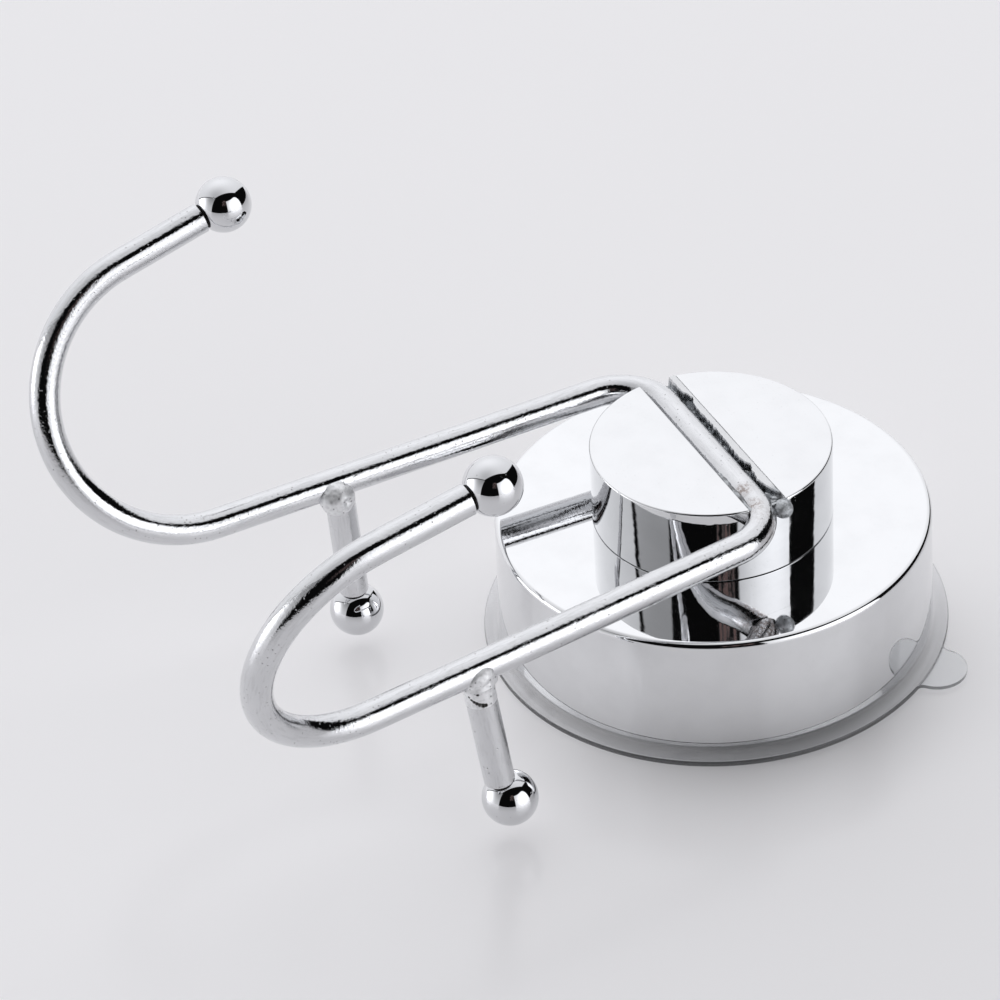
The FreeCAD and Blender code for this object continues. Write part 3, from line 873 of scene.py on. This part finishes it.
class HOOK_OT_knob(bpy.types.Operator):
    """Make the chromed knob with the slot across its top"""

    bl_idname = "suction_hook.knob"
    bl_label = "Knob"

    def execute(self, context):
        cup = context.scene.hook_cup
        radius = cup.knob_radius
        mesh = bmesh.new()
        near = math.asin(-cup.slot_near / radius)
        far = math.asin(cup.slot_far / radius)
        corners = [near, far, math.pi - far, math.pi - near, near + 2 * math.pi]
        first = mesh.verts.new((radius * math.cos(near), radius * math.sin(near), cup.slot_floor))
        corner_points = [first]
        last = [first]
        for start, end in zip(corners, corners[1:]):
            steps = max(4, round(cup.steps * (end - start) / (2 * math.pi)))
            turned = bmesh.ops.spin(mesh, geom=last, cent=ORIGIN, axis=UP, angle=end - start, steps=steps)
            last = points_in(turned["geom_last"])
            corner_points += last
        bmesh.ops.pointmerge(mesh, verts=[first, corner_points[-1]], merge_co=first.co)
        outer = list(mesh.edges)
        right_near, right_far, left_far, left_near = corner_points[:4]
        near_chord = mesh.edges.new((right_near, left_near))
        far_chord = mesh.edges.new((right_far, left_far))
        near_line = right_near.co.y + 1e-7
        far_line = right_far.co.y - 1e-7
        near_arc = [edge for edge in outer if all(point.co.y < near_line for point in edge.verts)]
        far_arc = [edge for edge in outer if all(point.co.y > far_line for point in edge.verts)]
        end_arcs = [edge for edge in outer if edge not in near_arc and edge not in far_arc]
        near_face = bmesh.ops.contextual_create(mesh, geom=near_arc + [near_chord])["faces"]
        far_face = bmesh.ops.contextual_create(mesh, geom=far_arc + [far_chord])["faces"]
        bmesh.ops.contextual_create(mesh, geom=end_arcs + [near_chord, far_chord])
        raised = bmesh.ops.extrude_face_region(mesh, geom=near_face + far_face)["geom"]
        bmesh.ops.translate(mesh, verts=points_in(raised), vec=UP * (cup.knob_top - cup.slot_floor))
        bmesh.ops.delete(mesh, geom=near_face + far_face, context="FACES_ONLY")
        ring = [edge for edge in mesh.edges if edge.is_boundary]
        rim = cup.knob_rim
        inner = radius - cup.knob_wall
        boss = 7.5 * MM
        hole = cup.stud_radius + 0.05 * MM
        ceiling = cup.slot_floor - 2.4 * MM
        thread_end = cup.slot_floor - 1.5 * MM
        levels = [
            (radius, rim + 0.12 * MM), (radius - 0.035 * MM, rim + 0.035 * MM), (radius - 0.12 * MM, rim),
            (inner + 0.2 * MM, rim), (inner, rim + 0.2 * MM), (inner, ceiling - 0.5 * MM),
            (inner - 0.5 * MM, ceiling), (boss + 0.5 * MM, ceiling), (boss, ceiling - 0.5 * MM),
            (boss, rim + 0.9 * MM), (boss - 0.2 * MM, rim + 0.7 * MM), (hole + 0.3 * MM, rim + 0.7 * MM),
            (hole, rim + 1.0 * MM), (hole, thread_end), (0.01 * MM, thread_end)]
        now = radius
        height = cup.slot_floor
        for new_radius, new_height in levels:
            result = bmesh.ops.extrude_edge_only(mesh, edges=ring)["geom"]
            points, ring = ring_loop(result)
            bmesh.ops.scale(mesh, verts=points, vec=(new_radius / now, new_radius / now, 1.0))
            bmesh.ops.translate(mesh, verts=points, vec=UP * (new_height - height))
            now, height = new_radius, new_height
        bmesh.ops.pointmerge(mesh, verts=points, merge_co=(0, 0, height))
        bmesh.ops.recalc_face_normals(mesh, faces=mesh.faces)
        top = cup.knob_top - 1e-6
        floor = cup.slot_floor + 1e-6
        rims = [
            edge for edge in mesh.edges
            if all(point.co.z > top for point in edge.verts)
            and any(abs(point.co.y - cup.slot_far) > 1e-6 for point in edge.verts)]
        uprights = [
            edge for edge in mesh.edges
            if {point.co.z > floor for point in edge.verts} == {True, False}
            and edge.calc_face_angle(0.0) > 1.0]
        sills = [
            edge for edge in mesh.edges
            if all(abs(point.co.z - cup.slot_floor) < 1e-6 for point in edge.verts)
            and all(point.co.xy.length > radius - 1e-5 for point in edge.verts)
            and edge.calc_face_angle(0.0) > 1.0]
        bmesh.ops.bevel(
            mesh, geom=rims + uprights + sills, offset=cup.knob_edge, segments=5, profile=0.5,
            affect="EDGES", clamp_overlap=True, material=-1)
        rotated(mesh, -cup.slot_turn)
        finish = context.scene.hook_finish
        material = chrome(context, "chromed_knob_look", finish.plate, finish.polish, 0.4, 0.1)
        slot_walls(context, material)
        piece = finish_piece("slotted_knob", mesh, "head", ["knob"], material)
        even_normals(piece)
        return {"FINISHED"}


class HOOK_OT_wire(bpy.types.Operator):
    """Bend the one wire that lies in the slot and makes both arms and both hooks"""

    bl_idname = "suction_hook.wire"
    bl_label = "Bent Wire"

    def execute(self, context):
        wire = context.scene.hook_wire
        left = ArmRun(context, -1)
        right = ArmRun(context, 1)
        core = 3.8 * MM
        shoulder = 4.35 * MM
        thin = 0.76
        bar = Bar(left.ball_centre - left.tip_way * core, -left.tip_way, wire.radius * thin, 64)
        bar.straight(shoulder - core - STEP, 2)
        bar.step(1 / thin)
        bar.straight(wire.tip - shoulder, 4)
        bar.bend(left.hook_inwards_at_end(), left.arm.hook_radius, left.arm.hook_turn, 96)
        bar.straight(left.arm.reach, 10)
        bar.bend(left.bend_inwards_at_end(), wire.bend, left.bend_angle, 28)
        bar.straight(left.slot_reach + right.slot_reach, 8)
        bar.bend(right.bend_inwards, wire.bend, right.bend_angle, 28)
        bar.straight(right.arm.reach, 10)
        bar.bend(right.hook_inwards, right.arm.hook_radius, right.arm.hook_turn, 96)
        bar.straight(wire.tip - shoulder, 4)
        bar.step(thin)
        bar.straight(shoulder - core - STEP, 2)
        miss = (bar.centre - (right.ball_centre - right.tip_way * core)).length
        if miss > 1e-5:
            raise RuntimeError(f"the wire ends {miss:.6f} m from its ball")
        finish = context.scene.hook_finish
        material = chrome(
            context, "chromed_wire_look", finish.chrome, finish.wire_polish, 0.12, 0.9, rod=True)
        heat_stains(context, material)
        end_rim = math.hypot(shoulder, wire.radius)
        # painted shade in the grooves beside both tip balls
        groove_shade(context, material, (left.ball_centre, right.ball_centre), end_rim)
        finish_piece("bent_wire", bar.close(), "head", ["hook_wire"], material)
        return {"FINISHED"}


class HOOK_OT_balls(bpy.types.Operator):
    """Make the balls on the tips of the wire and on the feet of the pegs"""

    bl_idname = "suction_hook.balls"
    bl_label = "Balls"

    def execute(self, context):
        wire = context.scene.hook_wire
        finish = context.scene.hook_finish
        material = chrome(context, "chromed_ball_look", finish.chrome, finish.polish, 0.06, 0.4)
        for name, side in (("left", -1), ("right", 1)):
            run = ArmRun(context, side)
            for kind, centre, way, radius in (
                    ("tip", run.ball_centre, run.tip_way, wire.radius),
                    ("peg", run.foot_centre, run.peg_way, wire.peg)):
                low = -math.degrees(math.acos((radius * 0.7) / wire.ball))
                outline = [(0, math.sin(math.radians(low)) * wire.ball)]
                outline += arc((0, 0), wire.ball, low, 90, 56)
                outline[-1] = (0, wire.ball)
                ball = turned_to(lathe(outline, 96), centre, way)
                piece = finish_piece(
                    f"{kind}_knob_{name}", ball, "head", [f"{kind}_ball_{name}"], material)
                even_normals(piece)
        return {"FINISHED"}


class HOOK_OT_pegs(bpy.types.Operator):
    """Make the short pegs that brace the arms against the wall"""

    bl_idname = "suction_hook.pegs"
    bl_label = "Pegs"

    def execute(self, context):
        wire = context.scene.hook_wire
        finish = context.scene.hook_finish
        material = chrome(
            context, "chromed_peg_look", finish.chrome, finish.wire_polish + 0.17, 0.16, 1.0, rod=True)
        for name, side in (("left", -1), ("right", 1)):
            run = ArmRun(context, side)
            start = run.peg_top + run.peg_way * (0.6 * wire.radius)
            core = 3.8 * MM
            in_ball = 0.55 * MM
            inside = 4.3 * MM
            end = run.foot_place - run.peg_way * core
            # painted shade in the groove beside the peg's ball
            groove_shade(context, material, (run.foot_place,), math.hypot(core + in_ball + STEP, wire.peg))
            neck = 0.8 if side > 0 else 1.0  # the right peg is thinner inside its collar of weld
            bar = Bar(start, run.peg_way, neck * wire.peg, 72)
            bar.straight(inside, 2)
            bar.step(1 / neck)
            bar.straight((end - start).length - inside - in_ball - 2 * STEP, 60)
            bar.step(0.76)
            bar.straight(in_ball, 2)
            finish_piece(f"brace_{name}", bar.close(), "head", [f"peg_{name}"], material)
        return {"FINISHED"}


class HOOK_OT_welds(bpy.types.Operator):
    """Make the welds of the pegs and the rough filler in the slot"""

    bl_idname = "suction_hook.welds"
    bl_label = "Welds and Filler"

    def execute(self, context):
        cup = context.scene.hook_cup
        wire = context.scene.hook_wire
        finish = context.scene.hook_finish
        weld_look = rough_chrome(context, "chromed_weld_look", finish.cast, 0.03 * MM, 0.12, 0.45, 0.6)
        run = ArmRun(context, -1)
        lump = lumpy_ball(2.95 * MM, 2.6 * MM, 0.2 * MM, 3.1)
        moved(lump, run.peg_top + Vector((2.2, -1.35, -1.32)) * MM)
        dent(lump, run.peg_top + Vector((5.1, -0.6, -0.87)) * MM, 1.1 * MM, 0.55 * MM)
        finish_piece("weld_left", lump, "head", ["peg_weld_left"], weld_look)
        run = ArmRun(context, 1)
        flare = wire.peg + 0.05 * MM
        outline = [(0, 0.6 * MM), (3.0 * MM, 0.6 * MM)]
        outline += arc((flare + 1.2 * MM, 3.4 * MM), 1.2 * MM, 245, 180, 16)
        outline += [(flare, (3.4 + 0.1 * i) * MM) for i in range(1, 27)]
        outline += [(flare - 0.25 * MM, 6.15 * MM), (0, 6.15 * MM)]
        collar = lathe(outline, 192)
        roughen(collar, 2.4 * MM, 0.09 * MM, 7.4)
        turned_to(collar, ORIGIN, run.peg_way)
        # places in millimetres from the top of the peg, and sizes; most of them make one crescent
        holes = (
            ((1.38, -2.01, -3.83), 0.15), ((1.74, -1.79, -4.29), 0.19), ((2.06, -1.55, -4.58), 0.23),
            ((2.39, -1.22, -4.84), 0.28), ((2.66, -0.85, -5.09), 0.33), ((2.86, -0.44, -5.23), 0.34),
            ((3.0, 0.02, -5.25), 0.27), ((2.47, -1.05, -3.01), 0.22))
        for place, size in holes:
            dent(collar, Vector(place) * MM, 1.6 * size * MM, size * MM)
            # painted shade inside each dent
            self.blow_hole(context, weld_look, run.peg_top / MM + Vector(place), size)
        saddle = lumpy_ball(1.9 * MM, 2.2 * MM, 0.1 * MM, 2.2, 1.45)
        turned_to(saddle, Vector((1.5, -0.2, -0.5)) * MM, (0.02, 0.96, 0.27))
        whole = moved(joined(collar, saddle), run.peg_top)
        finish_piece("weld_right", whole, "head", ["peg_weld_right"], weld_look)
        self.fill_slot(context, cup, wire)
        return {"FINISHED"}

    def blow_hole(self, context, material, place, size):
        """Paint shade inside one small hole in a weld."""
        tree, shader = opened(material)
        hole = remap(tree, distance_from(tree, millimetres(tree), place), size, size + 0.12, 1.0, 0.0)
        lay_over(tree, shader, hole, context.scene.hook_finish.pit, 0.4)

    def plated_ledge(self, context, material):
        """Bright plating where the filler stands high, apart from its rough right end."""
        cup = context.scene.hook_cup
        tree, shader = opened(material)
        parts = split(tree, millimetres(tree))
        top = cup.knob_top / MM
        high = product(
            tree, remap(tree, parts[2], top - 0.75, top - 0.5, 0.0, 1.0),
            remap(tree, parts[0], 15.0, 17.0, 1.0, 0.0), calculate(tree, "GREATER_THAN", parts[1], -1.5))
        lay_over(tree, shader, high, dimmed(context.scene.hook_finish.plate, 0.82), 0.2)

    def fill_slot(self, context, cup, wire):
        """Fill the slot behind the wire with rough metal, and close its right end flush with the knob."""
        finish = context.scene.hook_finish
        filler_look = rough_chrome(
            context, "braze_metal_look", finish.braze, 0.035 * MM, 0.6, 0.15, 0.35, 0.45)
        self.plated_ledge(context, filler_look)
        bead_metal = dimmed(finish.braze, 1.4)
        bead_look = rough_chrome(context, "braze_bead_look", bead_metal, 0.05 * MM, 0.35, 0.45, 0.6)
        bar = bmesh.new()
        bmesh.ops.create_grid(bar, x_segments=320, y_segments=44, size=0.5)
        low = wire.radius - cup.slot_near + 0.5 * wire.radius
        wide = cup.slot_far - low
        reach = cup.knob_radius - 0.3 * MM
        bmesh.ops.scale(bar, verts=bar.verts, vec=(2 * reach, wide, 1.0))
        moved(bar, (0, low + wide / 2, 0))
        for point in bar.verts:
            place = point.co.x / MM
            lump = noise.fractal(point.co / (1.9 * MM), 1.2, 2.1, 2)
            torn = noise.fractal(Vector((place / 0.8, 7.0, 0.0)), 0.9, 2.1, 3)
            edge = 2.3 + 0.16 * torn
            # where along the slot the ledge's edge swings, how widely and how far, in millimetres
            for middle, spread, shift in (
                    (-12.8, 1.5, 0.75), (-4.0, 3.5, 0.1), (5.0, 3.0, -0.2), (8.5, 1.0, 0.5),
                    (12.8, 1.7, -0.35), (20.0, 3.4, 1.6)):
                edge += shift * math.exp(-((place - middle) / spread) ** 2)
            inwards = max(0.0, min(1.0, (point.co.y / MM - edge) / 0.22 + 0.5))
            inwards = inwards * inwards * (3 - 2 * inwards)
            right = math.exp(-max(0.0, (20.0 - place) / 3.3) ** 2)
            crevice = -1.7 + 0.45 * lump + 1.3 * right
            ledge = -0.1 + 0.04 * lump + 0.2 * right * lump
            point.co.z = cup.knob_top + (crevice + (ledge - crevice) * inwards) * MM
        for point in points_in(bmesh.ops.extrude_face_region(bar, geom=bar.faces[:])["geom"]):
            point.co.z = cup.slot_floor + 0.1 * MM
        bmesh.ops.recalc_face_normals(bar, faces=bar.faces)
        near_side = Bar((8 * MM, -0.91 * cup.slot_near, cup.knob_top - 0.45 * MM), (1, 0, 0), 0.32 * MM, 20)
        near_side.straight(11.6 * MM, 90)
        near_side = near_side.close()
        roughen(near_side, 1.8 * MM, 0.2 * MM, 8.3)
        whole = rotated(joined(bar, near_side), -cup.slot_turn)
        finish_piece("slot_filler", whole, "head", ["slot_braze"], filler_look)
        bead = lumpy_ball(1.6 * MM, 1.6 * MM, 0.07 * MM, 5.2, sides=64)
        moved(bead, (cup.knob_radius, cup.slot_far - 0.75 * MM, cup.knob_top - 1.6 * MM))
        rotated(bead, -cup.slot_turn)
        finish_piece("filler_bead", bead, "head", [], bead_look)
        plug = bmesh.new()
        outer = cup.knob_radius + 0.015 * MM
        bottom = cup.slot_floor - 0.6 * MM
        top = cup.knob_top - 2.0 * MM
        corners = [(15 * MM, cup.slot_floor), (19 * MM, cup.slot_floor), (19 * MM, bottom), (outer, bottom),
                   (outer, top - 0.3 * MM), (outer - 0.3 * MM, top), (15 * MM, top)]
        points = [plug.verts.new((radius, 0, height)) for radius, height in corners]
        face = plug.faces.new(points)
        start = math.asin((wire.radius - cup.slot_near) / cup.knob_radius)
        end = math.asin((cup.slot_far + 0.5 * MM) / cup.knob_radius)
        rotated(plug, start)
        bmesh.ops.spin(plug, geom=[face], cent=ORIGIN, axis=UP, angle=end - start, steps=24)
        bmesh.ops.recalc_face_normals(plug, faces=plug.faces)
        rotated(plug, -cup.slot_turn)
        piece = finish_piece(
            "slot_end", plug, "head", [], bpy.data.materials["chromed_knob_look"])
        even_normals(piece)


class HOOK_OT_studio(bpy.types.Operator):
    """Set up the pale floor, the tent of light and the camera"""

    bl_idname = "suction_hook.studio"
    bl_label = "Studio"

    def execute(self, context):
        studio = context.scene.hook_studio
        mesh = bmesh.new()
        bmesh.ops.create_circle(mesh, cap_ends=True, radius=1.6, segments=128)
        moved(mesh, (0, 0, -0.02 * MM))
        floor = mesh_object("floor", mesh)
        material, tree, shader = new_material("floor_look")
        place = add_node(tree, "ShaderNodeTexCoord").outputs["Object"]
        cloud = noise_value(tree, place, 9.0, 2.0)
        tree.links.new(
            mix_colours(tree, cloud, studio.floor, dimmed(studio.floor, 0.985)),
            shader.inputs["Base Color"])
        shader.inputs["Roughness"].default_value = studio.floor_gloss
        shader.inputs["Emission Color"].default_value = (*studio.floor_glow, 1.0)
        # the cup's painted shadow dims the floor's glow
        tree.links.new(self.cup_shade(tree, place), shader.inputs["Emission Strength"])
        floor.data.materials.append(material)
        self.light_tent(context, studio)
        camera_data = bpy.data.cameras.new("camera")
        camera_data.sensor_width = 36.0
        camera_data.lens = studio.lens
        camera_data.clip_start = 0.01
        camera_data.clip_end = 50.0
        camera = place_object("camera", camera_data)
        look = Vector(studio.camera_direction).normalized()
        up = Vector(studio.camera_up)
        up = (up - look * up.dot(look)).normalized()
        right = look.cross(up)
        axes = Matrix((right, up, -look)).transposed().to_4x4()
        camera.matrix_world = Matrix.Translation(studio.camera_place) @ axes
        context.scene.camera = camera
        context.scene.view_settings.view_transform = "Standard"
        return {"FINISHED"}

    def cup_shade(self, tree, place):
        """A painted shadow of the cup in the floor's glow: how much glow is kept, less near the cup on the
        side away from the light behind it, and under the disc's rim.
        """
        way = vector_math(tree, "NORMALIZE", place)["Vector"]
        turned = math.radians(-14)
        side = vector_math(tree, "DOT_PRODUCT", way, (math.cos(turned), math.sin(turned), 0))["Value"]
        side = calculate(tree, "POWER", calculate(tree, "MAXIMUM", side, 0.0), 1.5)
        reach = vector_math(tree, "LENGTH", place)["Value"]
        near = add_node(
            tree, "ShaderNodeMapRange", None,
            {"Value": reach, "From Min": 0.0385, "From Max": 0.06, "To Min": 1.0, "To Max": 0.0})
        near = calculate(tree, "POWER", near.outputs["Result"], 2.0)
        under = remap(tree, reach, 0.0387, 0.0393, 0.27, 0.0)
        near = calculate(tree, "MULTIPLY_ADD", near, 0.56, calculate(tree, "ADD", under, 0.16))
        shade = calculate(tree, "MULTIPLY", side, near)
        return calculate(tree, "SUBTRACT", 1.0, shade)

    def light_tent(self, context, studio):
        """Light from a white tent, with a dark room in front and a soft box on each side of it."""
        world = bpy.data.worlds.new("tent")
        context.scene.world = world
        world.use_nodes = True
        tree = world.node_tree
        tree.nodes.clear()
        ray = add_node(tree, "ShaderNodeTexCoord").outputs["Generated"]
        front = math.atan2(studio.camera_place[1], studio.camera_place[0])
        way = vector_math(tree, "NORMALIZE", turned_about_z(tree, ray, -front))["Vector"]
        parts = split(tree, way)
        azimuth = calculate(tree, "DEGREES", calculate(tree, "ARCTAN2", parts[1], parts[0]))
        height = calculate(tree, "DEGREES", calculate(tree, "ARCSINE", parts[2]))

        def aim(bearing, elevation):
            """A direction by its bearing from the camera and its height, in degrees."""
            across = math.cos(math.radians(elevation))
            return (
                across * math.cos(math.radians(bearing)), across * math.sin(math.radians(bearing)),
                math.sin(math.radians(elevation)))

        def towards(bearing, elevation):
            """How nearly a ray goes in a direction."""
            return vector_math(tree, "DOT_PRODUCT", way, aim(bearing, elevation))["Value"]

        def glow(bearing, elevation, tightness):
            """A round soft spot, one at its middle."""
            short = calculate(tree, "SUBTRACT", towards(bearing, elevation), 1.0)
            return calculate(tree, "EXPONENT", product(tree, short, tightness))

        def below(bearing, elevation, soft=0.012, start=0.0):
            """One on the room's side of a straight edge of the tent, and nothing on the other."""
            return remap(tree, towards(bearing, elevation), start - soft, start + soft, 0.0, 1.0)

        def past(value, start, size):
            """How far a value is past a start, in shares of a size, to the fourth power."""
            share_past = calculate(tree, "DIVIDE", calculate(tree, "SUBTRACT", value, start), size)
            return calculate(tree, "POWER", calculate(tree, "MAXIMUM", share_past, 0.0), 4.0)

        uneven = 0.34
        tent = calculate(tree, "MULTIPLY_ADD", glow(-166, 42, 4.6), uneven, studio.tent_level)
        tent = calculate(tree, "MULTIPLY_ADD", glow(-50, 62, 5.2), -uneven, tent)
        room = calculate(
            tree, "MAXIMUM", calculate(tree, "MAXIMUM", below(24.6, -15.2), below(62.0, -39.5)),
            below(-26.8, -36.9))
        corner = calculate(tree, "ADD", past(azimuth, 56.0, 28.0), past(height, 4.0, 38.0))
        right_box = product(
            tree, remap(tree, corner, 0.93, 1.07, 1.0, 0.0), remap(tree, azimuth, 22.0, 24.5, 0.0, 1.0),
            calculate(tree, "MULTIPLY_ADD", glow(60, 15, 6.5), 1.8, 0.4))
        left_grey = remap(tree, height, 0.0, 52.0, 0.72, 0.32)
        left_box = product(
            tree, calculate(tree, "MULTIPLY_ADD", glow(-97, 3, 16.0), 2.6, left_grey),
            remap(tree, azimuth, -43.5, -41.5, 1.0, 0.0), below(-26.8, -36.9, 0.012, 0.04))
        beams = remap(tree, noise_value(tree, way, 15.0, 3.0), 0.46, 0.6, 0.0, 1.0)
        for value, low, high, soft in ((azimuth, 2.0, 21.0, 2.0), (height, 24.0, 48.0, 4.0)):
            beams = product(
                tree, beams, remap(tree, value, low, low + soft, 0.0, 1.0),
                remap(tree, value, high - soft, high, 1.0, 0.0))
        inside = calculate(tree, "ADD", calculate(tree, "ADD", right_box, left_box), studio.room)
        inside = calculate(tree, "MULTIPLY_ADD", beams, 0.15, inside)
        bright = add_node(
            tree, "ShaderNodeMix", {"data_type": "FLOAT"}, {0: room, 2: tent, 3: inside}).outputs[0]
        light = add_node(
            tree, "ShaderNodeBackground", None,
            {"Color": mix_colours(tree, beams, studio.tent, studio.timber), "Strength": bright})
        add_node(tree, "ShaderNodeOutputWorld", None, {"Surface": light.outputs[0]})


class HOOK_PT_parts(bpy.types.Panel):
    """Lists the pieces of the hook and its studio"""

    bl_label = "Suction Hook"
    bl_idname = "HOOK_PT_parts"
    bl_space_type = "VIEW_3D"
    bl_region_type = "UI"
    bl_category = "Suction Hook"

    def draw(self, context):
        column = self.layout.column()
        for operator in OPERATORS:
            column.operator(operator.bl_idname)
        for group in (context.scene.hook_cup, context.scene.hook_wire, context.scene.hook_finish,
                      context.scene.hook_studio):
            box = self.layout.box()
            for name in group.__annotations__:
                box.prop(group, name)


OPERATORS = (
    HOOK_OT_suction_disc, HOOK_OT_inner_parts, HOOK_OT_cover, HOOK_OT_knob, HOOK_OT_wire,
    HOOK_OT_balls, HOOK_OT_pegs, HOOK_OT_welds, HOOK_OT_studio)
CLASSES = (CupSizes, ArmSizes, WireSizes, FinishColours, StudioSettings, *OPERATORS, HOOK_PT_parts)


def register():
    """Register the classes and hang the settings on the scene."""
    for item in CLASSES:
        bpy.utils.register_class(item)
    bpy.types.Scene.hook_cup = PointerProperty(type=CupSizes)
    bpy.types.Scene.hook_wire = PointerProperty(type=WireSizes)
    bpy.types.Scene.hook_finish = PointerProperty(type=FinishColours)
    bpy.types.Scene.hook_studio = PointerProperty(type=StudioSettings)


def unregister():
    """Take the settings and the classes away again."""
    del bpy.types.Scene.hook_studio
    del bpy.types.Scene.hook_finish
    del bpy.types.Scene.hook_wire
    del bpy.types.Scene.hook_cup
    for item in reversed(CLASSES):
        bpy.utils.unregister_class(item)


def main():
    """Register the settings, give the right arm its own sizes, and make every piece and the studio."""
    register()
    right = bpy.context.scene.hook_wire.right
    right.splay = math.radians(2.6)
    right.reach = 0.0673
    right.hook_radius = 0.0221
    right.hook_turn = math.radians(171.9)
    right.hook_lean = math.radians(16.8)
    right.peg_place = 0.0494
    right.peg_lean_in = math.radians(5.2)
    right.peg_lean_out = math.radians(4.9)
    right.foot_gap = 0.0029
    right.foot_slip = 0.0011
    bpy.ops.suction_hook.suction_disc()
    bpy.ops.suction_hook.inner_parts()
    bpy.ops.suction_hook.cover()
    bpy.ops.suction_hook.knob()
    bpy.ops.suction_hook.wire()
    bpy.ops.suction_hook.balls()
    bpy.ops.suction_hook.pegs()
    bpy.ops.suction_hook.welds()
    bpy.ops.suction_hook.studio()


if __name__ == "__main__":
    main()
